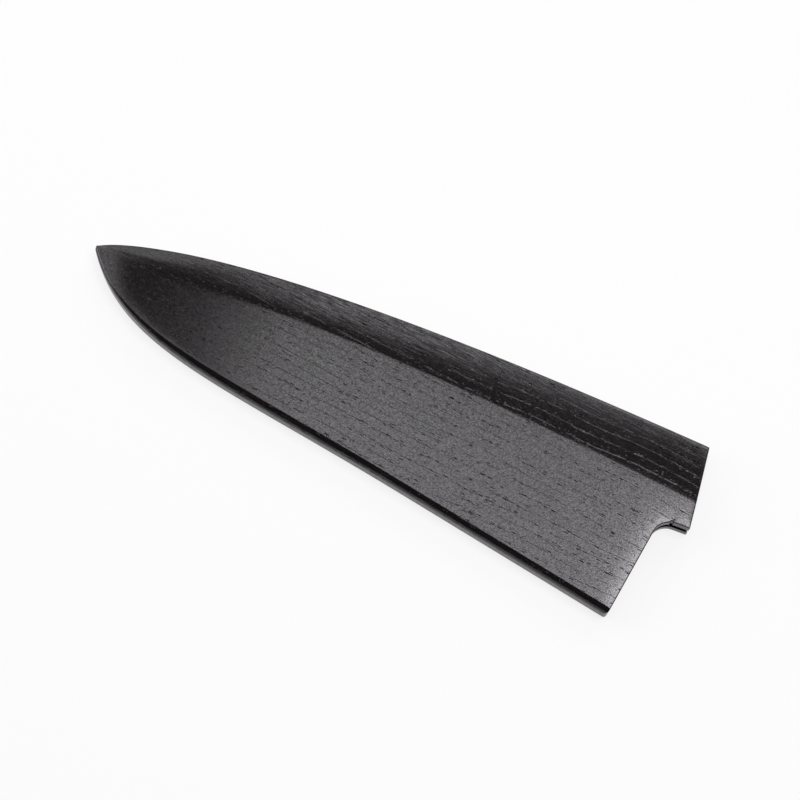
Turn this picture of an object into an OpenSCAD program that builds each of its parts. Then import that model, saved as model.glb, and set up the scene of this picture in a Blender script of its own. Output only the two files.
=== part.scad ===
// Knife blade guard: a wooden sheath for a chef's knife.
// Two shaped boards are glued onto two thin strips, one along the spine and one along the
// edge, which leave a flat pocket for the blade between the boards.
// It lies flat, with its tip towards -X, its mouth towards +X, its spine towards +Y
// and its lower face on the plane Z = 0.

/* [Outline] */
// Length from the tip to the far corner of the neck
sheath_len = 222; // [190:1:270]
// How far the spine line lies above the tip
spine_rise = 20.3; // [14:0.1:28]
// Height at the heel corner, from the spine line down to the edge line
heel_h = 66.8; // [56:0.2:80]
// Width of the blunt nose at the tip
nose_w = 1.1; // [0.8:0.1:2]

/* [Spine curve] */
// Angle at which the spine leaves the tip
spine_tip_angle = 32; // [24:0.5:38]
// Reach of the spine curve's handle at the tip
spine_tip_pull = 47; // [35:1:60]
// Reach of the spine curve's handle at the mouth
spine_mouth_pull = 22; // [10:1:60]

/* [Edge curve] */
// Angle at which the edge side leaves the tip
edge_tip_angle = 51.7; // [44:0.1:60]
// Reach of the edge curve's handle at the tip
edge_tip_pull = 34.5; // [26:0.5:44]
// Reach of the edge curve's handle at the belly
edge_belly_pull = 72; // [50:1:80]
// Length of the straight stretch between the belly and the heel
edge_straight = 80; // [65:1:95]
// Slope of the straight stretch against the spine line
edge_slope = 8; // [5:0.1:11]

/* [Neck and heel] */
// Height of the neck, from the spine line to its lower corner
neck_h = 29.3; // [24:0.1:36]
// Length of the neck beyond the heel line
neck_len = 10; // [8:0.1:16]
// Slant of the mouth end against a square cut
mouth_slant = 7.7; // [0:0.1:12]
// Slope of the lower edge of the neck
neck_slope = 3.2; // [0:0.1:8]
// Slant of the heel end against a square cut
heel_slant = 6.4; // [0:0.1:12]
// Radius of the notch where the neck meets the heel end
notch_r = 6.2; // [3:0.1:8]
// Radius of the heel corner in plan
heel_corner_r = 1.6; // [1:0.1:5]
// Radius of the small nick beside the notch in the upper board
nick_r = 0.55; // [0.3:0.05:0.9]
// Angle round the notch from the neck's edge to the nick
nick_turn = 13; // [8:0.5:25]

/* [Thickness] */
// Thickness of the sheath between its flat faces
sheath_t = 10; // [9:0.1:13]
// Thickness of the sheath at the spine
spine_t = 4.8; // [4.4:0.1:7]
// Thickness of the strips, and so the width of the blade slot between the boards
slot_w = 3; // [2.2:0.1:3.6]

/* [Spine facet] */
// Width of the spine facet at the mouth
facet_mouth_w = 20; // [14:0.1:24]
// Width of the spine facet where it has run clear of the tip
facet_tip_w = 9.6; // [6:0.1:12]
// Length over which the facet grows out of the tip
facet_fade = 9; // [5:0.5:16]
// Share by which the facet is rounded rather than flat
facet_crown = 0.35; // [0:0.05:0.6]
// Length over which the facet turns from fully rounded at the tip to that share
crown_fade = 40; // [20:1:60]
// Radius of the spine's outer corner
spine_round = 0.5; // [0.3:0.05:0.8]

/* [Edge wall] */
// How far the rounded edge wall stands out past the flat face
wall_bulge = 2; // [1:0.1:3]
// The same at the tip
tip_bulge = 0.6; // [0.3:0.1:1]
// Length over which the bulge grows from the tip
bulge_run = 70; // [40:1:100]
// Power of the wall's curve: the middle is nearly upright, and the shoulders are round
wall_power = 3; // [2:0.25:4]

/* [Strips] */
// Width of the spine strip, from the spine in to the pocket
spine_strip_w = 6; // [4:0.1:8]
// Width of the edge strip, from the edge side in to the pocket
edge_strip_w = 6.5; // [5:0.1:9]
// Length over which the mitred joint of the strips runs in from the tip
mitre_len = 20; // [16:1:26]

/* [Magnets] */
// Diameter of a disc magnet
magnet_d = 8; // [5:0.5:10]
// Thickness of a disc magnet
magnet_t = 1.5; // [1:0.1:1.8]
// Radial clearance of a magnet in its recess
magnet_gap = 0.05; // [0.02:0.01:0.15]
// Depth of a magnet's face below the board's inner face
magnet_sink = 0.1; // [0.05:0.05:0.2]
// Distance from the heel line back to the first magnet
magnet_back = 42; // [25:1:60]
// Distance between the two magnets of one board
magnet_pitch = 74; // [50:1:85]
// Distance from the spine line down to the magnets
magnet_low = 26; // [22:0.5:30]

/* [Hidden] */

// Steps along the spine curve, and along the edge curve and the straight stretch after it,
// which together are as many, so that the stations of the two sides face each other
spine_steps = 46;
curve_steps = 28;
straight_steps = spine_steps - curve_steps;
// Steps along the spine's corner and the facet, up the edge wall of a strip, and round the
// notch and the heel corner
corner_steps = 2;
facet_steps = 5;
strip_steps = 4;
arc_steps = 10;
board_steps = 1 + corner_steps + facet_steps;
// How far blanks and cutters run past the ends and faces that they cut
over = 12;

half_t = sheath_t / 2;
half_slot = slot_w / 2;

// Corners of the neck and the heel end, with the tip at [0, 0]
neck_corner = [sheath_len, spine_rise - neck_h];
mouth_dir = [-sin(mouth_slant), cos(mouth_slant)];
neck_dir = [-cos(neck_slope), -sin(neck_slope)];
heel_dir = [-sin(heel_slant), -cos(heel_slant)];
notch_corner = neck_corner + neck_dir * neck_len / cos(neck_slope);
edge_dir = [cos(edge_slope), -sin(edge_slope)];
heel_corner = notch_corner
    + heel_dir * (notch_corner[1] - spine_rise + heel_h) / cos(heel_slant);
notch_centre = fillet_centre(notch_corner, -neck_dir, heel_dir, notch_r);
heel_centre = fillet_centre(heel_corner, -heel_dir, -edge_dir, heel_corner_r);
nick_angle = 90 + neck_slope + nick_turn;
nick_at = notch_centre + notch_r * [cos(nick_angle), sin(nick_angle)];

// Handles of the spine curve, which runs from the nose to above the neck's far corner
spine_curve = [
    [0, nose_w / 2],
    [0, nose_w / 2] + spine_tip_pull * [cos(spine_tip_angle), sin(spine_tip_angle)],
    [sheath_len - spine_mouth_pull, spine_rise],
    [sheath_len, spine_rise]
];

// Handles of the edge curve, which runs from the nose to the straight stretch
belly = heel_corner - edge_straight * edge_dir;
edge_curve = [
    [0, -nose_w / 2],
    [0, -nose_w / 2] + edge_tip_pull * [cos(edge_tip_angle), -sin(edge_tip_angle)],
    belly - edge_belly_pull * edge_dir,
    belly
];

// Point and direction on a cubic curve at parameter t
function curve_at(c, t) =
    pow(1 - t, 3) * c[0] + 3 * pow(1 - t, 2) * t * c[1]
    + 3 * (1 - t) * t * t * c[2] + pow(t, 3) * c[3];
function curve_dir(c, t) =
    let (v = pow(1 - t, 2) * (c[1] - c[0]) + 2 * (1 - t) * t * (c[2] - c[1])
        + t * t * (c[3] - c[2]))
    v / norm(v);

// Stations of the outline: each is a point and the unit vector that leads inwards from it
spine_stations = [
    for (i = [0 : spine_steps])
        let (d = curve_dir(spine_curve, i / spine_steps))
        [curve_at(spine_curve, i / spine_steps), [d[1], -d[0]]],
    [[sheath_len + over, spine_rise], [0, -1]]
];
edge_stations = [
    for (i = [0 : curve_steps])
        let (d = curve_dir(edge_curve, i / curve_steps))
        [curve_at(edge_curve, i / curve_steps), [-d[1], d[0]]],
    for (i = [1 : straight_steps + 1])
        let (run = (sheath_len + over - belly[0]) / edge_dir[0] * i / (straight_steps + 1))
        [belly + run * edge_dir, [-edge_dir[1], edge_dir[0]]]
];

// Width of the facet, radius of the spine's corner, which leaves some of the board's upright
// wall below it, roundness of the facet, and bulge of the edge wall, at a distance x from the tip
function grown(x, run) = 1 - exp(-x / run);
function facet_w(x) =
    nose_w / 3 + grown(x, facet_fade)
    * (facet_tip_w + (facet_mouth_w - facet_tip_w) * x / sheath_len - nose_w / 3);
function round_r(x) = min(spine_round, facet_w(x) / 3, 0.6 * (spine_t - slot_w) / 2);
function crown(x) = facet_crown + (1 - facet_crown) * exp(-x / crown_fade);
function bulge(x) = tip_bulge + (wall_bulge - tip_bulge) * sin(90 * min(1, x / bulge_run));

// Height of the spine's wall above the middle plane at a distance x from the tip
function spine_wall_h(x) =
    half_t - (sheath_t - spine_t) / 2 * min(1, facet_w(x) / facet_tip_w);

// Inset and height of ring k of a board on the spine side: a wall, a rounded corner, then the
// facet
function spine_ring(k, x) =
    let (r = round_r(x), top = spine_wall_h(x),
        a = 90 * (k - 1) / corner_steps, u = (k - 1 - corner_steps) / facet_steps)
    k == 0 ? [0, half_slot]
    : k <= corner_steps ? [r * (1 - cos(a)), top - r + r * sin(a)]
    : k == corner_steps + 1 ? [r, top]
    : [r + (facet_w(x) - r) * u, top + (half_t - top) * u * (1 + crown(x) * (1 - u))];

// Inset and height on the edge wall, a curve that stands upright at the middle plane, at the
// height z above that plane
function edge_ring(z, x) = [bulge(x) * pow(abs(z) / half_t, wall_power), z];

function placed(station, ring) = concat(station[0] + ring[0] * station[1], ring[1]);

// Closed rings of points from the mouth to the tip and on to the heel: ring k of a board, and
// ring k of the core, which is the slab between the boards
function board_ring(k) = [
    for (i = [len(spine_stations) - 1 : -1 : 0])
        placed(spine_stations[i], spine_ring(k, spine_stations[i][0][0])),
    for (s = edge_stations)
        placed(s, edge_ring(half_slot + (half_t - half_slot) * k / board_steps, s[0][0]))
];
function core_ring(k) = [
    for (i = [len(spine_stations) - 1 : -1 : 0])
        placed(spine_stations[i], [0, slot_w * (k / strip_steps - 1 / 2)]),
    for (s = edge_stations)
        placed(s, edge_ring(slot_w * (k / strip_steps - 1 / 2), s[0][0]))
];

// A solid lofted through a stack of rings: walls between the rings, and two flat caps of
// strips that cross from the spine side to the edge side
module lofted(stack) {
    n = len(stack[0]);
    m = n / 2;
    top = n * (len(stack) - 1);
    walls = [
        for (k = [0 : len(stack) - 2], i = [0 : n - 1])
            let (a = k * n + i, b = k * n + (i + 1) % n)
            each [[a, a + n, b], [b, a + n, b + n]]
    ];
    caps = [
        for (i = [0 : m - 2])
            let (s = m - 1 - i, e = m + i)
            each [
                [s - 1, s, e], [s - 1, e, e + 1],
                [top + e, top + s, top + s - 1], [top + e + 1, top + e, top + s - 1]
            ]
    ];
    polyhedron([for (ring = stack) each ring], concat(walls, caps));
}

// Centre of the circle of radius r that touches two lines which leave a corner along d1 and d2
function fillet_centre(corner, d1, d2, r) =
    let (half = acos(d1 * d2) / 2, bisector = (d1 + d2) / norm(d1 + d2))
    corner + bisector * r / sin(half);
function arc(centre, r, from, to, steps) = [
    for (i = [0 : steps])
        let (a = from + (to - from) * i / steps)
        centre + r * [cos(a), sin(a)]
];

// The waste beyond the mouth end, below the neck and beyond the heel end, in plan. Its last
// cut runs straight on past the edge line from the rounded heel corner.
module end_waste() {
    notch = arc(notch_centre, notch_r, 90 + neck_slope, 180 - heel_slant, arc_steps);
    heel = arc(heel_centre, heel_corner_r, -heel_slant, -90, arc_steps);
    polygon(concat(
        [neck_corner + (neck_h + over) * mouth_dir, neck_corner],
        notch,
        heel,
        [
            heel[arc_steps] - [over, 0],
            [heel[arc_steps][0] - over, -heel_h - over],
            [sheath_len + 2 * over, -heel_h - over],
            [sheath_len + 2 * over, spine_rise + over]
        ]
    ));
}

// The two strips in plan: what lies between the outline and the pocket, parted at the tip by
// a line that halves the angle there and then runs out through the pocket to the mouth
mitre_angle = (spine_tip_angle - edge_tip_angle) / 2;
parting = [
    [-over, 0],
    [0, 0],
    mitre_len * [cos(mitre_angle), sin(mitre_angle)],
    [sheath_len + 2 * over, notch_corner[1]]
];
module strip_plan(stations, width, far_side) {
    difference() {
        polygon(concat(
            [for (i = [len(stations) - 1 : -1 : 0]) stations[i][0]],
            [[0, 0]],
            [for (s = stations) s[0] + width * s[1]]
        ));
        polygon(concat(parting, [[sheath_len + 2 * over, far_side], [-over, far_side]]));
        end_waste();
    }
}

// Places of the two magnets of a board, from the heel towards the tip
function magnet_at(i) =
    [notch_corner[0] - magnet_back - i * magnet_pitch, spine_rise - magnet_low];

// The upper board with its two magnet recesses, before the nick is cut
module board() {
    difference() {
        lofted([for (k = [0 : board_steps]) board_ring(k)]);
        translate([0, 0, -1]) linear_extrude(height = half_t + 2) end_waste();
        for (i = [0, 1])
            translate(concat(magnet_at(i), 0))
                cylinder(
                    h = half_slot + magnet_sink + magnet_t,
                    r = magnet_d / 2 + magnet_gap, $fn = 48
                );
    }
}

// A magnet of the upper board, above the middle plane
module half_magnet(i) {
    translate(concat(magnet_at(i), half_slot + magnet_sink))
        cylinder(h = magnet_t, d = magnet_d, $fn = 48);
}

// Moves a part from the tip and the middle plane to the middle of the sheath's footprint
module seated() {
    low = heel_centre[1] - heel_corner_r;
    translate([-sheath_len / 2, -(spine_rise + low) / 2, half_t]) children();
}

module upper_board() {
    color([0.16, 0.16, 0.17])
    seated()
    difference() {
        board();
        translate(concat(nick_at, -1)) cylinder(h = half_t + 2, r = nick_r, $fn = 24);
    }
}

module lower_board() {
    color([0.13, 0.13, 0.14])
    seated() mirror([0, 0, 1]) board();
}

// The strip along the spine, whose outer wall is upright
module spine_strip() {
    color([0.14, 0.14, 0.15])
    seated()
    translate([0, 0, -half_slot])
        linear_extrude(height = slot_w)
            strip_plan(spine_stations, spine_strip_w, -heel_h - over);
}

// The strip along the edge, whose outer wall is the middle of the rounded edge wall
module edge_strip() {
    color([0.14, 0.14, 0.15])
    seated()
    intersection() {
        lofted([for (k = [0 : strip_steps]) core_ring(k)]);
        translate([0, 0, -half_t])
            linear_extrude(height = sheath_t)
                strip_plan(edge_stations, edge_strip_w, spine_rise + over);
    }
}

module upper_magnet_heel() {
    color([0.78, 0.78, 0.8])
    seated() half_magnet(0);
}

module upper_magnet_tip() {
    color([0.78, 0.78, 0.8])
    seated() half_magnet(1);
}

module lower_magnet_heel() {
    color([0.78, 0.78, 0.8])
    seated() mirror([0, 0, 1]) half_magnet(0);
}

module lower_magnet_tip() {
    color([0.78, 0.78, 0.8])
    seated() mirror([0, 0, 1]) half_magnet(1);
}

upper_board();
lower_board();
spine_strip();
edge_strip();
upper_magnet_heel();
upper_magnet_tip();
lower_magnet_heel();
lower_magnet_tip();
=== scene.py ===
"""A wooden sheath for a chef's knife, stained black, lying on a pale floor.

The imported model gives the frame. Each board, strip and magnet is built again here from the same
outline as a dense, softly edged mesh, and the wood gets a procedural, open-pored grain.
"""

import math

import bmesh
import bpy
import numpy as np
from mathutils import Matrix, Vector
from mathutils.geometry import delaunay_2d_cdt


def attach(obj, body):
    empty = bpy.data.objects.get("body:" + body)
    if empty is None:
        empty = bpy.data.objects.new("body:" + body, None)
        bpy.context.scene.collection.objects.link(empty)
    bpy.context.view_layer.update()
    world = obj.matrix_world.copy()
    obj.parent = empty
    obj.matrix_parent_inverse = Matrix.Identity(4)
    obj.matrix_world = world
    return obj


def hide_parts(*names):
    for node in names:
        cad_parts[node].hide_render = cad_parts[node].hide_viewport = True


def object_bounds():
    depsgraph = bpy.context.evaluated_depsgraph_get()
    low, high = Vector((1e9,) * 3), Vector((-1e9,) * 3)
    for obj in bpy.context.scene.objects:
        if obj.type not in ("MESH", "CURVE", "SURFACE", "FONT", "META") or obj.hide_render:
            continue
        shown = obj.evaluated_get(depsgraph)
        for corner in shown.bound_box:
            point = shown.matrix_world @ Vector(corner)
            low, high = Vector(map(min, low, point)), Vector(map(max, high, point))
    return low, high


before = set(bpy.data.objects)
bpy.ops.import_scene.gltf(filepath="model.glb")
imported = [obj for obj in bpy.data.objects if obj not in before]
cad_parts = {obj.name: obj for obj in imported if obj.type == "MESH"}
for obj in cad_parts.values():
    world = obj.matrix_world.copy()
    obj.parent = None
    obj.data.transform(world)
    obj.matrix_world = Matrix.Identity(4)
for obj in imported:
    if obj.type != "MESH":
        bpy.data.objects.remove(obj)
cad_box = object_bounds()

MM = 0.001

# Outline of the sheath, in millimetres, with the tip at the origin, the mouth towards +X and
# the spine towards +Y
SHEATH_LEN = (cad_box[1].x - cad_box[0].x) / MM
SHEATH_T = (cad_box[1].z - cad_box[0].z) / MM
SPINE_RISE = 20.3
HEEL_H = 66.8
NOSE_W = 1.1
SPINE_TIP_ANGLE = 32
SPINE_TIP_PULL = 47
SPINE_MOUTH_PULL = 22
EDGE_TIP_ANGLE = 51.7
EDGE_TIP_PULL = 34.5
EDGE_BELLY_PULL = 72
EDGE_STRAIGHT = 80
EDGE_SLOPE = 8
NECK_H = 29.3
NECK_LEN = 10
MOUTH_SLANT = 7.7
NECK_SLOPE = 3.2
HEEL_SLANT = 6.4
NOTCH_R = 6.2
HEEL_CORNER_R = 1.6

# A nick beside the notch: its place and tilt in degrees round the notch, and the gap that the
# notch's own points keep from its centre, as a share of its radius
NICK_R = 0.55
NICK_TURN = 13
NICK_TILT = 3
NICK_CLEAR = 1.2

# Cross-section. The face sinks by a share of the spine's round, and the edge wall bulges less at
# the tip.
SLOT_W = 3
SPINE_T = 4.8
FACET_MOUTH_W = 20
FACET_TIP_W = 9.6
FACET_NOSE_W = NOSE_W / 3
FACET_FADE = 9
FACET_CROWN = 0.35
CROWN_FADE = 40
SPINE_ROUND = 0.5
SPINE_ROUND_SHARE = 0.8
WALL_BULGE = 2
TIP_BULGE = 0.6
BULGE_RUN = 70
WALL_POWER = 5
SPINE_STRIP_W = 6
EDGE_STRIP_W = 6.5
HALF_T = SHEATH_T / 2
HALF_SLOT = SLOT_W / 2

# Magnets, two in each board, in recesses a little wider and deeper. Their edges are broken over
# a short way, with one ring of points a part of that way in.
MAGNET_ENDS = ("heel", "tip")
MAGNET_D = 8
MAGNET_T = 1.5
MAGNET_GAP = 0.05
MAGNET_SINK = 0.1
MAGNET_BACK = 42
MAGNET_PITCH = 74
MAGNET_LOW = 26
MAGNET_EASE = 0.15
MAGNET_EASE_PART = 0.3

# Softness of the edges, in millimetres: the cut ends, the arris of the edge wall and the line
# where the facet meets the flat face
CUT_ROUND = 0.36
ARRIS_ROUND = 0.4
ARRIS_DROP = 0.09
FACET_BLEND = 0.025
TIP_BLEND = 0.45
TIP_BLEND_RUN = 18

# How far the face eases down towards the edge side, the cut ends and the tip, and over what
# distance. Near the tip it eases further and wider towards the edge side.
EDGE_EASE = 0.10
EDGE_EASE_RUN = 2
TIP_EASE = 0.8
TIP_EASE_RUN = 4.5
TIP_EASE_FADE = 36
END_EASE = 0.15
END_EASE_RUN = 3
TIP_DROOP = 0.8
TIP_DROOP_RUN = 7

# Spacing of the points along lines, in millimetres
EDGE_STEP = 0.55
NOTCH_STEP = 0.35
CORNER_STEP = 0.02
NICK_STEP = 0.12
RECESS_STEP = 0.4
MAGNET_STEP = 0.26
ROW_STEP = 1.1
FACE_STEP = 1.5

# The heel line's last stretch, which has as many points as the rest of that line
CORNER_RUN = 4
HEEL_POINTS = 40

# Rings over the softened rim as shares of its depth, and rings down a board's wall
RIM_SHARES = (0, 0.12, 0.35, 0.65, 1)
WALL_STEPS = 12

# Rows of points over the facet, as shares of its width, and beside the line where it meets the
# flat, in millimetres but no nearer to the spine than a share of its width
FACET_ROWS = (0.03, 0.07, 0.13, 0.2, 0.28, 0.36, 0.45, 0.54, 0.63, 0.72, 0.8, 0.87)
BLEND_ROWS = (-1.4, -0.8, -0.4, -0.1, 0.2, 0.5, 0.9, 1.5)
BLEND_SHARE = 0.9

# Gaps that the face's inner points keep to the facet and to the rim, in millimetres
GRID_GAP = 2.2
RIM_GAP = 0.75

# Points along a strip's long lines, steps of the edge strip's end, and steps of a strip's height
STRIP_POINTS = 260
STRIP_END_STEPS = 12
SPINE_STRIP_STEPS = 2
EDGE_STRIP_STEPS = 8

# Edges that bend by more degrees than this are shaded sharp
SHARP_ANGLE = 38

# A distance that counts as none, in millimetres
TOUCH = 1e-6

# Kinds of output that delaunay_2d_cdt offers
TRIANGLES = 1
WHOLE_FACES = 3


def turned(degrees):
    """The unit vector at an angle from +X."""
    a = math.radians(degrees)
    return np.array([math.cos(a), math.sin(a)])


def bezier(c, t):
    t = np.asarray(t, float)[:, None]
    s = 1 - t
    return s**3 * c[0] + 3 * s * s * t * c[1] + 3 * s * t * t * c[2] + t**3 * c[3]


def lengths_along(line):
    return np.concatenate([[0], np.cumsum(np.linalg.norm(np.diff(line, axis=0), axis=1))])


def evenly(line, n):
    """The same open line as n evenly spaced points."""
    length = lengths_along(line)
    at = np.linspace(0, length[-1], n)
    return np.column_stack([np.interp(at, length, line[:, k]) for k in (0, 1)])


def resampled(line, step):
    """The same open line with evenly spaced points, about one step apart."""
    return evenly(line, max(2, int(round(lengths_along(line)[-1] / step)) + 1))


def normals_right(points):
    """Unit vectors to the right of an open line's direction, at its points."""
    d = np.gradient(points, axis=0)
    d /= np.linalg.norm(d, axis=1)[:, None]
    return np.column_stack([d[:, 1], -d[:, 0]])


def fillet_centre(corner, d1, d2, r):
    """Centre of the arc that rounds the corner between two unit directions away from it."""
    half = math.acos(float(d1 @ d2)) / 2
    middle = d1 + d2
    return corner + middle / np.linalg.norm(middle) * r / math.sin(half)


def arc(centre, r, start, end, step=EDGE_STEP):
    n = max(4, int(abs(math.radians(end - start)) * r / step) + 1)
    return np.array([centre + r * turned(a) for a in np.linspace(start, end, n + 1)])


def circle(centre, r, step):
    """A closed circle, without its first point again at the end."""
    return arc(centre, r, 0, 360, step)[:-1]


# Corners of the neck and the heel end
neck_corner = np.array([SHEATH_LEN, SPINE_RISE - NECK_H])
mouth_dir = turned(90 + MOUTH_SLANT)
neck_dir = turned(180 + NECK_SLOPE)
heel_dir = turned(270 - HEEL_SLANT)
edge_dir = turned(-EDGE_SLOPE)
notch_corner = neck_corner + neck_dir * NECK_LEN / math.cos(math.radians(NECK_SLOPE))
heel_drop = (notch_corner[1] - SPINE_RISE + HEEL_H) / math.cos(math.radians(HEEL_SLANT))
heel_corner = notch_corner + heel_dir * heel_drop
notch_centre = fillet_centre(notch_corner, -neck_dir, heel_dir, NOTCH_R)
heel_centre = fillet_centre(heel_corner, -heel_dir, -edge_dir, HEEL_CORNER_R)

# The two long curves, each from the nose outwards, with some length to spare past the ends
nose_top = np.array([0, NOSE_W / 2])
belly = heel_corner - EDGE_STRAIGHT * edge_dir
SPARE = 12
FINE = np.linspace(0, 1, 900)
spine_line = np.vstack([
    bezier([
        nose_top, nose_top + SPINE_TIP_PULL * turned(SPINE_TIP_ANGLE),
        np.array([SHEATH_LEN - SPINE_MOUTH_PULL, SPINE_RISE]),
        np.array([SHEATH_LEN, SPINE_RISE]),
    ], FINE),
    [[SHEATH_LEN + SPARE, SPINE_RISE]],
])
edge_line = np.vstack([
    bezier([
        -nose_top, EDGE_TIP_PULL * turned(-EDGE_TIP_ANGLE) - nose_top,
        belly - EDGE_BELLY_PULL * edge_dir, belly,
    ], FINE),
    [heel_corner + SPARE * edge_dir],
])

# The round of the notch as angles, and the cut ends in plan from the spine to the heel corner
NOTCH_ANGLES = (90 + NECK_SLOPE, 180 - HEEL_SLANT)
cut_line = np.vstack([
    neck_corner + NECK_H * mouth_dir, neck_corner,
    arc(notch_centre, NOTCH_R, *NOTCH_ANGLES),
    heel_corner,
])

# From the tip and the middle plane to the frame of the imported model
TO_FRAME = np.array([-SHEATH_LEN / 2, -(SPINE_RISE + heel_centre[1] - HEEL_CORNER_R) / 2, HALF_T])


def nearest_on(line, points):
    """Distance of each point from a line of points, and the x of its nearest place there."""
    best = np.full(len(points), 1e9)
    at = np.zeros(len(points))
    for a, b in zip(line[:-1], line[1:]):
        d = b - a
        t = np.clip((points - a) @ d / max(d @ d, 1e-12), 0, 1)
        gap = np.linalg.norm(points - a - t[:, None] * d, axis=1)
        near = gap < best
        best[near] = gap[near]
        at[near] = (a[0] + t * d[0])[near]
    return best, at


def distance_to(line, points):
    return nearest_on(line, points)[0]


def crossing(line, origin, direction):
    """Where an open line first crosses the line through origin along direction."""
    side = (line - origin) @ np.array([-direction[1], direction[0]])
    i = np.nonzero(np.diff(np.sign(side)) != 0)[0][0]
    t = side[i] / (side[i] - side[i + 1])
    return i, line[i] + t * (line[i + 1] - line[i])


def clipped(line, origin, direction):
    """The part of an open line before it crosses the line through origin along direction."""
    i, p = crossing(line, origin, direction)
    return np.vstack([line[: i + 1], p])


def after(line, origin, direction):
    """The part of an open line after it crosses the line through origin along direction."""
    i, p = crossing(line, origin, direction)
    return np.vstack([p, line[i + 1:]])


def facet_w(x):
    """Width of the facet at a place along the sheath."""
    full = FACET_TIP_W + (FACET_MOUTH_W - FACET_TIP_W) * x / SHEATH_LEN
    return FACET_NOSE_W + (1 - np.exp(-x / FACET_FADE)) * (full - FACET_NOSE_W)


def crown(x):
    """How round the facet is across: 0 is flat, and 1 runs level into the flat face."""
    return FACET_CROWN + (1 - FACET_CROWN) * np.exp(-x / CROWN_FADE)


def eased(points):
    """How far the face lies lower near the edge side and the cut ends."""
    near_tip = np.exp(-points[:, 0] / TIP_EASE_FADE)
    gap = distance_to(edge_line, points)
    drop = EDGE_EASE * np.exp(-gap / EDGE_EASE_RUN)
    drop += TIP_EASE * near_tip * np.exp(-gap / TIP_EASE_RUN)
    return drop + END_EASE * np.exp(-distance_to(cut_line, points) / END_EASE_RUN)


def drooped(points):
    """How far the face lies lower around the tip."""
    return TIP_DROOP * np.exp(-np.hypot(*points.T) / TIP_DROOP_RUN)


def face_height(points):
    """Height of the upper face above the middle plane: the spine's round, the crowned facet
    and the flat, which eases down a little towards its rim."""
    s, x = nearest_on(spine_line, points)
    w = facet_w(x)
    low = HALF_T - (SHEATH_T - SPINE_T) / 2 * np.minimum(1, w / FACET_TIP_W)
    r = np.minimum(SPINE_ROUND, w / 3)
    u = np.maximum(0, (s - r) / (w - r))
    rise = np.minimum(1, u) * (1 + crown(x) * (1 - np.minimum(1, u)))
    rise += (1 - crown(x)) * np.maximum(0, u - 1)
    blend = FACET_BLEND + TIP_BLEND * np.exp(-x / TIP_BLEND_RUN)
    facet = HALF_T - blend * np.logaddexp(0, (HALF_T - low) * (1 - rise) / blend)
    round_drop = r - np.sqrt(np.maximum(0, r * r - np.clip(r - s, 0, None) ** 2))
    return facet - SPINE_ROUND_SHARE * round_drop - eased(points) - drooped(points)


def edge_at(z):
    """The rounded edge wall's line at the height z, from the nose to past the heel."""
    run = np.clip(edge_line[:, 0] / BULGE_RUN, 0, 1)
    bulge = TIP_BULGE + (WALL_BULGE - TIP_BULGE) * np.sin(np.pi / 2 * run)
    inset = bulge * np.abs(z / HALF_T) ** WALL_POWER
    return edge_line - normals_right(edge_line) * inset[:, None]


def heel_end(edge):
    """The heel line and its rounded corner, down to where they meet an edge line, and that
    line before it."""
    corner = arc(heel_centre, HEEL_CORNER_R, -HEEL_SLANT, -90 - EDGE_SLOPE, CORNER_STEP)
    line = np.vstack([notch_centre + NOTCH_R * turned(180 - HEEL_SLANT), corner])
    side = (line - edge[-1]) @ turned(90 - EDGE_SLOPE)
    i = int(np.nonzero(side < TOUCH)[0][0])
    end = line[i - 1] + (line[i] - line[i - 1]) * side[i - 1] / (side[i - 1] - side[i])
    before = edge[(edge - end) @ edge_dir < -TOUCH]
    return np.vstack([line[:i], end]), np.vstack([before, end])


def nicked(notch):
    """The notch's round with a small bite out of the board."""
    turn = 90 + NECK_SLOPE + NICK_TURN
    centre = notch_centre + NOTCH_R * turned(turn)
    bite = arc(centre, NICK_R, turn - (90 + NICK_TILT), turn + (90 - NICK_TILT), NICK_STEP)
    gap = np.linalg.norm(notch - centre, axis=1)
    clear = gap > NICK_R * NICK_CLEAR
    before = np.arange(len(notch)) <= np.argmin(gap)
    return np.vstack([notch[clear & before], bite, notch[clear & ~before]])


def board_outline(z, nick):
    """The outline of a board at the height z as named stretches, clockwise from the nose."""
    spine = clipped(spine_line, neck_corner, mouth_dir)
    heel, edge = heel_end(edge_at(z))
    notch = arc(notch_centre, NOTCH_R, *NOTCH_ANGLES, NOTCH_STEP)
    if nick:
        notch = nicked(notch)
    bend = heel[-1] - CORNER_RUN * heel_dir
    past = (heel - bend) @ heel_dir >= 0
    return {
        "spine": resampled(spine, EDGE_STEP),
        "mouth": resampled(np.array([spine[-1], neck_corner]), EDGE_STEP),
        "neck": resampled(np.array([neck_corner, notch[0]]), EDGE_STEP),
        "notch": notch,
        "heel": evenly(np.vstack([heel[~past], bend]), HEEL_POINTS),
        "corner": evenly(np.vstack([bend, heel[past]]), HEEL_POINTS),
        "edge": evenly(edge[::-1], int(SHEATH_LEN / EDGE_STEP)),
    }


CUT_STRETCHES = ["mouth", "neck", "notch", "heel", "corner"]


def loop_of(stretches):
    """One closed loop of points, with each stretch's last point left to the next stretch."""
    return np.vstack([s[:-1] for s in stretches.values()] + [stretches["edge"][-1:]])


def inward(loop):
    """Unit vectors that lead inwards from a clockwise loop, and the mitre factor at each."""
    ahead = np.roll(loop, -1, 0) - loop
    ahead /= np.linalg.norm(ahead, axis=1)[:, None]
    n1 = np.column_stack([ahead[:, 1], -ahead[:, 0]])
    n0 = np.roll(n1, 1, 0)
    n = n0 + n1
    n /= np.linalg.norm(n, axis=1)[:, None]
    return n, 1 / np.clip((n * n1).sum(1), 0.5, 1)


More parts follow.
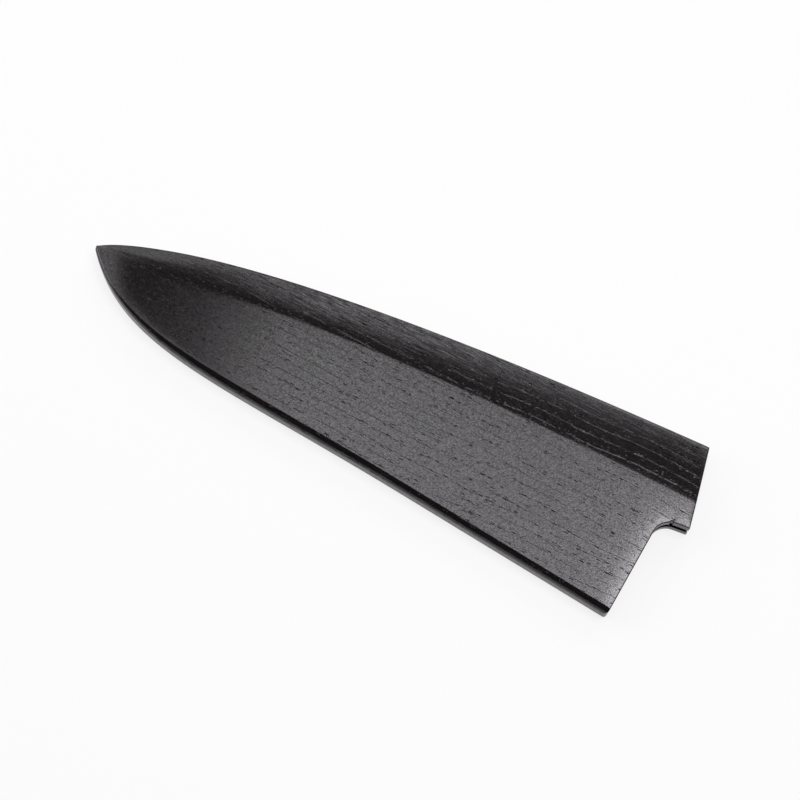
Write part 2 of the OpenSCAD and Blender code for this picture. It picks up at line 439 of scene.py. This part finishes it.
def inside(closed, points):
    """Whether points lie inside a closed line."""
    found = np.zeros(len(points), bool)
    for a, b in zip(closed[:-1], closed[1:]):
        if a[1] == b[1]:
            continue
        level = (a[1] > points[:, 1]) != (b[1] > points[:, 1])
        x = a[0] + (points[:, 1] - a[1]) / (b[1] - a[1]) * (b[0] - a[0])
        found ^= level & (points[:, 0] < x)
    return found


def face_points(loop):
    """Points inside the outline: rows along the spine over the facet, and a grid elsewhere."""
    line = resampled(spine_line, ROW_STEP)
    n = normals_right(line)
    w = facet_w(line[:, 0])
    depths = [share * w for share in FACET_ROWS]
    depths += [np.maximum(BLEND_SHARE * w, w + gap) for gap in BLEND_ROWS]
    rows = [line + n * depth[:, None] for depth in depths]
    x = np.arange(0, SHEATH_LEN, FACE_STEP)
    y = np.arange(-HEEL_H, SPINE_RISE, FACE_STEP)
    grid = np.array([(a + (k % 2) * FACE_STEP / 2, b) for k, b in enumerate(y) for a in x])
    s, at = nearest_on(spine_line, grid)
    points = np.vstack(rows + [grid[s > facet_w(at) + GRID_GAP]])
    closed = np.vstack([loop, loop[:1]])
    points = points[inside(closed, points)]
    return points[distance_to(closed, points) > RIM_GAP]


class Mesh:
    """Vertices and faces gathered before they become an object."""

    def __init__(self):
        self.verts = []
        self.faces = []

    def add(self, points):
        start = len(self.verts)
        self.verts += [tuple(p) for p in points]
        return list(range(start, start + len(points)))

    def ring(self, line, z):
        """The points of a line in plan at one height, or each at its own."""
        return self.add(np.column_stack([line, np.broadcast_to(z, len(line))]))

    def skin(self, a, b, closed=True):
        """Faces between two rings with as many points each."""
        n = len(a)
        for i in range(n if closed else n - 1):
            j = (i + 1) % n
            self.faces.append((a[i], a[j], b[j], b[i]))

    def skins(self, rings):
        for a, b in zip(rings[:-1], rings[1:]):
            self.skin(a, b)

    def fill(self, loops, extra=(), height=(), up=True):
        """Faces inside loops of vertex numbers. One loop is filled with triangles, which take in
        the extra points. Of several loops each gets one whole face, so the first, which is the
        outer one, covers the others as well."""
        flat, edges, ids = [], [], []
        for loop in loops:
            start = len(flat)
            flat += [Vector(self.verts[i][:2]) for i in loop]
            ids += list(loop)
            n = len(loop)
            edges += [(start + i, start + (i + 1) % n) for i in range(n)]
        flat += [Vector(p) for p in extra]
        ids += self.add([(p[0], p[1], z) for p, z in zip(extra, height)])
        kind = WHOLE_FACES if len(loops) > 1 else TRIANGLES
        points, _, faces, origins = delaunay_2d_cdt(flat, edges, [], kind, 1e-7)[:4]
        back = []
        # A place where two edges cross has no number yet, and gets a vertex in the middle plane
        for p, known in zip(points, origins):
            back.append(ids[known[0]] if known else self.add([(p.x, p.y, 0)])[0])
        for f in faces:
            f = [back[i] for i in f]
            if len(set(f)) == len(f):
                self.faces.append(tuple(f) if up else tuple(reversed(f)))


def make_object(name, mesh, mirrored=False):
    """A smooth object from gathered vertices and faces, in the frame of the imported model."""
    verts = np.array(mesh.verts, float)
    if mirrored:
        verts[:, 2] *= -1
    verts = (verts + TO_FRAME) * MM
    data = bpy.data.meshes.new(name)
    data.from_pydata([tuple(v) for v in verts], [], mesh.faces)
    bm = bmesh.new()
    bm.from_mesh(data)
    bmesh.ops.remove_doubles(bm, verts=bm.verts, dist=1e-7)
    bmesh.ops.recalc_face_normals(bm, faces=bm.faces)
    bm.to_mesh(data)
    bm.free()
    for p in data.polygons:
        p.use_smooth = True
    data.set_sharp_from_angle(angle=math.radians(SHARP_ANGLE))
    obj = bpy.data.objects.new(name, data)
    bpy.context.scene.collection.objects.link(obj)
    return obj


def rim_rings(mesh, stretches):
    """Rings over the softened rim of the upper face, from the outline inwards."""
    loop = loop_of(stretches)
    n, mitre = inward(loop)
    kind = np.concatenate([[k] * (len(s) - 1) for k, s in stretches.items()] + [["edge"]])
    cut = np.isin(kind, CUT_STRETCHES)
    edge = kind == "edge"
    depth = np.where(cut, CUT_ROUND, np.where(edge, ARRIS_ROUND, SPINE_ROUND / 2))
    rings = []
    for share in RIM_SHARES:
        ring = loop + n * (depth * share * mitre)[:, None]
        z = face_height(ring)
        z -= np.where(cut, CUT_ROUND * (1 - math.sqrt(1 - (1 - share) ** 2)), 0)
        z -= np.where(edge, ARRIS_DROP * (1 - share) ** 2, 0)
        rings.append(mesh.ring(ring, z))
    return rings


def wall_rings(mesh, rim, nick):
    """Rings down a board's wall, from the rim of its upper face to the strips."""
    top = np.array([mesh.verts[i][2] for i in rim])
    rings = [rim]
    for share in np.linspace(0, 1, WALL_STEPS + 1)[1:]:
        level = HALF_T + (HALF_SLOT - HALF_T) * share
        ring = loop_of(board_outline(level, nick))
        rings.append(mesh.ring(ring, top + (HALF_SLOT - top) * share))
    return rings


def magnet_at(i):
    """Centre of a magnet in plan, counted from the heel."""
    x = notch_corner[0] - MAGNET_BACK - i * MAGNET_PITCH
    return np.array([x, SPINE_RISE - MAGNET_LOW])


def recess(mesh, i):
    """A magnet's blind recess behind the inner face, whose lip is returned."""
    line = circle(magnet_at(i), MAGNET_D / 2 + MAGNET_GAP, RECESS_STEP)
    lip = mesh.ring(line, HALF_SLOT)
    floor = mesh.ring(line, HALF_SLOT + MAGNET_SINK + MAGNET_T)
    mesh.skin(lip, floor)
    mesh.faces.append(tuple(floor))
    return lip


def board_mesh(nick):
    """The upper board: a softly edged upper face, its walls, the recesses and the inner face."""
    mesh = Mesh()
    rim = rim_rings(mesh, board_outline(HALF_T, nick))
    mesh.skins(rim)
    last = np.array([mesh.verts[i][:2] for i in rim[-1]])
    extra = face_points(last)
    mesh.fill([rim[-1]], extra, face_height(extra))
    walls = wall_rings(mesh, rim[0], nick)
    for a, b in zip(walls[:-1], walls[1:]):
        mesh.skin(b, a)
    lips = [recess(mesh, i) for i in range(len(MAGNET_ENDS))]
    mesh.fill([walls[-1]] + lips, up=False)
    return mesh


def strip_levels(steps):
    """Heights above the middle plane from the bottom of a strip to its top."""
    return np.linspace(-HALF_SLOT, HALF_SLOT, steps + 1)


def strip_mesh(outer_lines, inner_line):
    """A strip between an outer wall, given as one line for each height, and an inner line."""
    mesh = Mesh()
    steps = len(outer_lines) - 1
    levels = strip_levels(steps)
    outer = [mesh.ring(line, z) for line, z in zip(outer_lines, levels)]
    inner = [mesh.ring(inner_line, z) for z in levels]
    for k in range(steps):
        mesh.skin(outer[k], outer[k + 1], closed=False)
        mesh.skin(inner[k + 1], inner[k], closed=False)
        for end in (0, -1):
            f = (outer[k][end], inner[k][end], inner[k + 1][end], outer[k + 1][end])
            mesh.faces.append(f if end == 0 else f[::-1])
    mesh.skin(outer[-1], inner[-1], closed=False)
    mesh.skin(inner[0], outer[0], closed=False)
    return mesh


# The line from the tip where the two strips meet
mitre_dir = turned((SPINE_TIP_ANGLE - EDGE_TIP_ANGLE) / 2)


def spine_strip_mesh():
    outer = np.vstack([[[0, 0]], clipped(spine_line, neck_corner, mouth_dir)])
    inner = spine_line + normals_right(spine_line) * SPINE_STRIP_W
    inner = after(inner, np.zeros(2), mitre_dir)
    inner = clipped(inner, neck_corner, mouth_dir)
    lines = [evenly(outer, STRIP_POINTS)] * (SPINE_STRIP_STEPS + 1)
    return strip_mesh(lines, evenly(inner, STRIP_POINTS))


def edge_strip_mesh():
    """The strip whose outer wall continues the boards' and ends along the heel line."""
    inner = edge_line - normals_right(edge_line) * EDGE_STRIP_W
    inner = after(inner, np.zeros(2), mitre_dir)
    inner = clipped(inner, notch_corner, heel_dir)
    lines = []
    for z in strip_levels(EDGE_STRIP_STEPS):
        heel, edge = heel_end(edge_at(z))
        outer = evenly(np.vstack([[0, 0], edge]), STRIP_POINTS - STRIP_END_STEPS)
        end = evenly(heel[:0:-1], STRIP_END_STEPS + 1)[1:]
        lines.append(np.vstack([outer, end]))
    return strip_mesh(lines, evenly(inner, STRIP_POINTS))


def magnet_mesh(i):
    """A disc with broken edges."""
    mesh = Mesh()
    r = MAGNET_D / 2
    low = HALF_SLOT + MAGNET_SINK
    high = low + MAGNET_T
    ease = MAGNET_EASE
    part = MAGNET_EASE * MAGNET_EASE_PART
    profile = [(r - ease, low), (r - part, low + part), (r, low + ease)]
    profile += [(r, high - ease), (r - part, high - part), (r - ease, high)]
    rings = []
    for radius, z in profile:
        rings.append(mesh.ring(circle(magnet_at(i), radius, MAGNET_STEP * radius / r), z))
    mesh.skins(rings)
    mesh.faces.append(tuple(reversed(rings[0])))
    mesh.faces.append(tuple(rings[-1]))
    return mesh


class Nodes:
    """Short calls for building a material's node tree."""

    def __init__(self, name):
        self.material = bpy.data.materials.new(name)
        self.material.use_nodes = True
        self.tree = self.material.node_tree
        self.shader = self.tree.nodes["Principled BSDF"]

    def new(self, kind, **values):
        node = self.tree.nodes.new(kind)
        for key, value in values.items():
            setattr(node, key, value)
        return node

    def put(self, socket, value):
        """Links a socket to another, or gives it a constant."""
        if isinstance(value, bpy.types.NodeSocket):
            self.tree.links.new(value, socket)
        else:
            socket.default_value = value

    def math(self, operation, *values):
        node = self.new("ShaderNodeMath", operation=operation)
        for socket, value in zip(node.inputs, values):
            self.put(socket, value)
        return node.outputs[0]

    def times(self, product, *others):
        for value in others:
            product = self.math("MULTIPLY", product, value)
        return product

    def plus(self, total, *others):
        for value in others:
            total = self.math("ADD", total, value)
        return total

    def most(self, greatest, *others):
        for value in others:
            greatest = self.math("MAXIMUM", greatest, value)
        return greatest

    def combine(self, x, y, z):
        node = self.new("ShaderNodeCombineXYZ")
        for socket, value in zip(node.inputs, (x, y, z)):
            self.put(socket, value)
        return node.outputs[0]

    def split(self, vector):
        node = self.new("ShaderNodeSeparateXYZ")
        self.put(node.inputs[0], vector)
        return node.outputs

    def noise(self, at, scale=1.0, detail=2.0, roughness=0.5):
        node = self.new("ShaderNodeTexNoise")
        self.put(node.inputs["Vector"], at)
        node.inputs["Scale"].default_value = scale
        node.inputs["Detail"].default_value = detail
        node.inputs["Roughness"].default_value = roughness
        return node.outputs["Fac"]

    def ramp(self, value, low, high, to_low=0.0, to_high=1.0, smooth=True):
        node = self.new("ShaderNodeMapRange")
        node.interpolation_type = "SMOOTHSTEP" if smooth else "LINEAR"
        for name, v in (("Value", value), ("From Min", low), ("From Max", high),
                        ("To Min", to_low), ("To Max", to_high)):
            self.put(node.inputs[name], v)
        return node.outputs["Result"]

    def mix(self, factor, a, b):
        """A mix of two colours, whose sockets are the node's inputs 6 and 7 and output 2."""
        node = self.new("ShaderNodeMix", data_type="RGBA")
        self.put(node.inputs[0], factor)
        self.put(node.inputs[6], a)
        self.put(node.inputs[7], b)
        return node.outputs[2]

    def dent(self, height, depth):
        """Gives the surface a relief, whose heights from 0 to 1 span a depth in millimetres."""
        bump = self.new("ShaderNodeBump")
        bump.inputs["Strength"].default_value = 1
        bump.inputs["Distance"].default_value = depth * MM
        self.put(bump.inputs["Height"], height)
        self.put(self.shader.inputs["Normal"], bump.outputs[0])


# Black stain on pale and dark fibres, painted shade in the pores, and the tint of the satin sheen
DARK_STAIN = (0.0042, 0.0029, 0.0031, 1)
LIGHT_STAIN = (0.0078, 0.0060, 0.0064, 1)
PAINTED_PORE_SHADE = (0.0008, 0.0007, 0.0007, 1)
SHEEN_TINT = (0.985, 0.96, 1.0, 1)

# Turn of the grain in degrees, gap between two rows of vessels and depth of the relief in
# millimetres
GRAIN_TURN = 3.6
RING_GAP = 3.2
WOOD_RELIEF = 0.09


class Grain:
    """Places in a piece of wood in millimetres: u along its grain, v across it, w through it.

    The offset gives each piece a grain of its own. The places where looks change along u are
    those of the upper board, whose offset is zero."""

    def __init__(self, m, offset):
        self.m = m
        place = m.new("ShaderNodeTexCoord")
        turn = m.new("ShaderNodeMapping")
        turn.inputs["Scale"].default_value = (1 / MM,) * 3
        turn.inputs["Rotation"].default_value[2] = math.radians(GRAIN_TURN)
        turn.inputs["Location"].default_value = offset
        m.put(turn.inputs["Vector"], place.outputs["Object"])
        self.u, self.v, self.w = m.split(turn.outputs[0])
        # Height above the floor, and how level the surface lies: 1 on a face, 0 on a wall
        self.lift = m.math("DIVIDE", m.split(place.outputs["Object"])["Z"], MM)
        self.level = m.math("ABSOLUTE", m.split(place.outputs["Normal"])["Z"])

    def cells(self, length, width):
        """The place counted in cells of a length along the grain and a width across it."""
        m = self.m
        return m.combine(m.math("DIVIDE", self.u, length), m.math("DIVIDE", self.v, width),
                         m.math("DIVIDE", self.w, width))

    def noise(self, length, width, detail, roughness=0.5):
        return self.m.noise(self.cells(length, width), detail=detail, roughness=roughness)

    def along(self, start, end, tip, mouth):
        """One value on the tip's side of a stretch of the grain, and another past it."""
        return self.m.ramp(self.u, start, end, tip, mouth)

    def by_depth(self, deep, shallow, facet, flat):
        """One value on the low part of the facet, and another on the flat. They change between
        two depths below the flat."""
        return self.m.ramp(self.lift, SHEATH_T - deep, SHEATH_T - shallow, facet, flat)


def growth_rings(m, grain):
    """How far a place lies from the middle of its nearest growth ring. The rings wander a
    little from side to side along their run."""
    sway = m.math("SUBTRACT", grain.noise(60, 24, detail=1), 0.5)
    shake = m.math("SUBTRACT", grain.noise(3, 2, detail=1), 0.5)
    wander = m.plus(m.times(sway, 7), m.times(shake, 0.5))
    return m.math("PINGPONG", m.plus(grain.v, wander, m.times(grain.w, 0.4)), RING_GAP / 2)


def vessel_rows(m, grain, gap):
    """Rows of vessels along the growth rings: long broken grooves, which are deep on the low
    part of the facet, shallow on the flat, faint at the tip and none on the walls."""
    broken = m.ramp(grain.noise(6, 1.4, detail=3, roughness=0.7), 0.44, 0.52)
    return m.times(m.ramp(gap, 0.19, 0.03), broken, grain.along(-75, -10, tip=0.1, mouth=1.0),
                   grain.by_depth(0.5, 0.2, facet=1.4, flat=0.3), m.ramp(grain.level, 0.91, 0.96))


def pores(m, grain, gap):
    """Single pores: long thin cells, of which chance keeps some, and more near a ring. They
    grow fainter towards the tip."""
    band = m.ramp(gap, 1.1, 0.2)

    def kind(length, width, size, few, many):
        cell = m.new("ShaderNodeTexVoronoi")
        m.put(cell.inputs["Vector"], grain.cells(length, width))
        cell.inputs["Scale"].default_value = 1
        pick = m.new("ShaderNodeSeparateColor")
        m.put(pick.inputs[0], cell.outputs["Color"])
        chance = m.ramp(band, 0, 1, few, many, smooth=False)
        kept = m.math("LESS_THAN", pick.outputs[0], chance)
        return m.times(kept, m.ramp(cell.outputs["Distance"], size, size * 0.5))

    specks = m.times(kind(length=1.1, width=0.3, size=0.42, few=0.06, many=0.2), 0.2)
    fine = kind(length=2.6, width=0.34, size=0.42, few=0.03, many=0.15)
    coarse = kind(length=4.4, width=0.62, size=0.28, few=0.01, many=0.06)
    return m.times(m.most(fine, coarse, specks), grain.along(-108, -60, tip=0.35, mouth=1.0))


def streaks(m, grain):
    """Lighter and darker streaks in the sheen of the facet, which fade at both ends and are
    faint on the flat."""
    streak = m.ramp(grain.noise(5, 0.3, detail=2, roughness=0.6), 0.32, 0.68, -0.6, 0.6)
    return m.times(streak, grain.by_depth(0.5, 0.15, facet=1, flat=0.1),
                   grain.along(-102, -60, tip=0.1, mouth=1.0),
                   grain.along(10, 60, tip=1.0, mouth=0.35))


def wood(name, offset):
    """Black-stained open-pored wood with a satin sheen, and its grain along the sheath."""
    m = Nodes(name)
    grain = Grain(m, offset)
    gap = growth_rings(m, grain)
    groove = vessel_rows(m, grain, gap)
    pore = pores(m, grain, gap)
    deep = m.ramp(pore, 0.1, 0.7)
    fibre = grain.noise(14, 0.45, detail=3, roughness=0.6)
    satin = grain.noise(0.8, 0.34, detail=1, roughness=0.6)
    grit = grain.noise(0.45, 0.26, detail=1, roughness=0.6)

    # The walls, which are duller than the faces, though less so at the tip
    side = m.times(m.ramp(grain.level, 0.8, 0.4), grain.along(-100, -70, tip=0.2, mouth=1.0))

    tone = m.mix(m.ramp(fibre, 0.3, 0.7), DARK_STAIN, LIGHT_STAIN)
    # Deep in the pores the base colour turns to painted shade
    m.put(m.shader.inputs["Base Color"], m.mix(deep, tone, PAINTED_PORE_SHADE))
    rough = m.plus(m.ramp(satin, 0.25, 0.75, 0.12, 0.21), m.times(deep, 0.3), m.times(side, 0.16))
    m.put(m.shader.inputs["Roughness"], rough)
    # The sheen fades deep in the pores as painted shade, and is weaker on the walls
    shine = m.times(m.ramp(grit, 0.3, 0.7, 0.36, 1.0), m.ramp(deep, 0, 1, 1, 0.12),
                    m.ramp(side, 0, 1, 1, 0.56), m.plus(1, streaks(m, grain)))
    m.put(m.shader.inputs["Specular IOR Level"], shine)
    m.shader.inputs["Specular Tint"].default_value = SHEEN_TINT

    # Relief: a fine nap, the strands of the fibre, and dips at pores and grooves
    strands = m.times(fibre, grain.by_depth(0.4, 0.15, facet=0.3, flat=0.14))
    raised = m.plus(m.times(satin, 0.05), strands)
    dips = m.most(pore, m.times(groove, 0.8))
    m.dent(m.math("SUBTRACT", raised, dips), WOOD_RELIEF)
    return m.material


def plated_metal(name):
    """Nickel plate, bright with faint rubbing marks."""
    m = Nodes(name)
    place = m.new("ShaderNodeTexCoord")
    marks = m.noise(place.outputs["Object"], scale=2500, detail=3)
    m.shader.inputs["Base Color"].default_value = (0.62, 0.62, 0.61, 1)
    m.shader.inputs["Metallic"].default_value = 1
    m.put(m.shader.inputs["Roughness"], m.ramp(marks, 0.3, 0.7, 0.16, 0.32))
    m.dent(marks, 0.003)
    return m.material


def placed(obj, node, material):
    """Gives a piece its material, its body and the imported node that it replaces."""
    obj.data.materials.append(material)
    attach(obj, "root")
    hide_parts(node)


def build_sheath():
    upper = make_object("upper_board_wood", board_mesh(True))
    placed(upper, "upper_board", wood("stained_wood_upper", (0, 0, 0)))
    lower = make_object("lower_board_wood", board_mesh(False), mirrored=True)
    placed(lower, "lower_board", wood("stained_wood_lower", (37, 61, 9)))
    strip_wood = wood("stained_wood_strips", (83, 29, 5))
    spine = make_object("spine_strip_wood", spine_strip_mesh())
    placed(spine, "spine_strip", strip_wood)
    edge = make_object("edge_strip_wood", edge_strip_mesh())
    placed(edge, "edge_strip", strip_wood)
    nickel = plated_metal("nickel_plate")
    for side in ("upper", "lower"):
        for i, end in enumerate(MAGNET_ENDS):
            name = f"{side}_magnet_{end}"
            disc = make_object(name + "_disc", magnet_mesh(i), mirrored=side == "lower")
            placed(disc, name, nickel)


# Place in metres, turn in degrees, lens in millimetres and shift as a share of the frame
CAMERA_AT = (0.07091, -0.17058, 0.63270)
CAMERA_TURN = (16.712, -1.113, 23.863)
CAMERA_LENS = 87.64
CAMERA_SHIFT = (-0.00044, -0.00031)


def build_camera():
    data = bpy.data.cameras.new("camera")
    data.lens = CAMERA_LENS
    data.sensor_width = 36
    data.shift_x, data.shift_y = CAMERA_SHIFT
    data.clip_start = 0.01
    data.clip_end = 50
    camera = bpy.data.objects.new("camera", data)
    camera.location = CAMERA_AT
    camera.rotation_euler = [math.radians(a) for a in CAMERA_TURN]
    bpy.context.scene.collection.objects.link(camera)
    bpy.context.scene.camera = camera


# Share of the floor's look that is plain white, which leaves the rest to light and shadow
FLOOR_WHITE = 0.8
FLOOR_COLOUR = (0.97, 0.97, 0.965, 1)
FLOOR_SIZE = 12
WORLD_STRENGTH = 0.05


def build_floor():
    bpy.ops.mesh.primitive_plane_add(size=FLOOR_SIZE, location=(0, 0, 0))
    floor = bpy.context.object
    floor.name = "floor"
    m = Nodes("floor_paint")
    m.shader.inputs["Base Color"].default_value = FLOOR_COLOUR
    m.shader.inputs["Roughness"].default_value = 0.9
    m.shader.inputs["Specular IOR Level"].default_value = 0
    white = m.new("ShaderNodeEmission")
    blend = m.new("ShaderNodeMixShader")
    path = m.new("ShaderNodeLightPath").outputs
    seen = m.most(path["Is Camera Ray"], path["Is Glossy Ray"], path["Is Transmission Ray"])
    m.put(blend.inputs[0], m.times(seen, FLOOR_WHITE))
    m.put(blend.inputs[1], m.shader.outputs[0])
    m.put(blend.inputs[2], white.outputs[0])
    m.put(m.tree.nodes["Material Output"].inputs["Surface"], blend.outputs[0])
    floor.data.materials.append(m.material)


def build_world():
    world = bpy.data.worlds.new("studio")
    world.use_nodes = True
    background = world.node_tree.nodes["Background"]
    background.inputs["Color"].default_value = (1, 1, 1, 1)
    background.inputs["Strength"].default_value = WORLD_STRENGTH
    bpy.context.scene.world = world


def softbox(name, at, target, size, radiance):
    """A rectangular lamp at one point that faces another, by the brightness of its surface."""
    data = bpy.data.lights.new(name, "AREA")
    data.shape = "RECTANGLE"
    data.size, data.size_y = size
    data.energy = math.pi * radiance * size[0] * size[1]
    lamp = bpy.data.objects.new(name, data)
    lamp.location = at
    lamp.rotation_euler = (Vector(at) - Vector(target)).to_track_quat("Z", "Y").to_euler()
    bpy.context.scene.collection.objects.link(lamp)


def build_lamps():
    """Softboxes whose reflections make the sheen on the flat, the facet, the tip and the
    walls. The second hangs a little below the first, because lamps in one plane hide each
    other in reflections."""
    softbox("overhead", (0.1325, 0.0975, 0.95), (0.1325, 0.0975, 0), (0.735, 0.495), 2.6)
    softbox("overhead_right", (0.325, 0.035, 0.92), (0.325, 0.035, 0), (0.33, 0.48), 5.2)
    softbox("overhead_left", (-0.355, 0.03, 0.94), (-0.355, 0.03, 0), (0.2, 0.2), 1.1)
    softbox("back_right", (0.245, 0.973, 0.751), (0.245, 0.008, 0.486), (0.71, 0.59), 1.95)
    softbox("back_middle", (-0.23, 0.973, 0.816), (-0.23, 0.008, 0.556), (0.24, 0.59), 1.7)
    softbox("back_left", (-0.7735, 0.983, 0.578), (-0.3935, -0.017, 0.328), (0.84, 0.54), 1.25)
    softbox("left", (-0.785, 0.325, 0.745), (-0.225, 0.325, 0.17), (1.05, 0.73), 1.25)
    softbox("front_left", (-1.05, -0.22, 0.5), (0, 0, 0), (0.6, 0.6), 3)


build_camera()
build_sheath()
build_floor()
build_world()
build_lamps()
bpy.context.scene.view_settings.view_transform = "Standard"
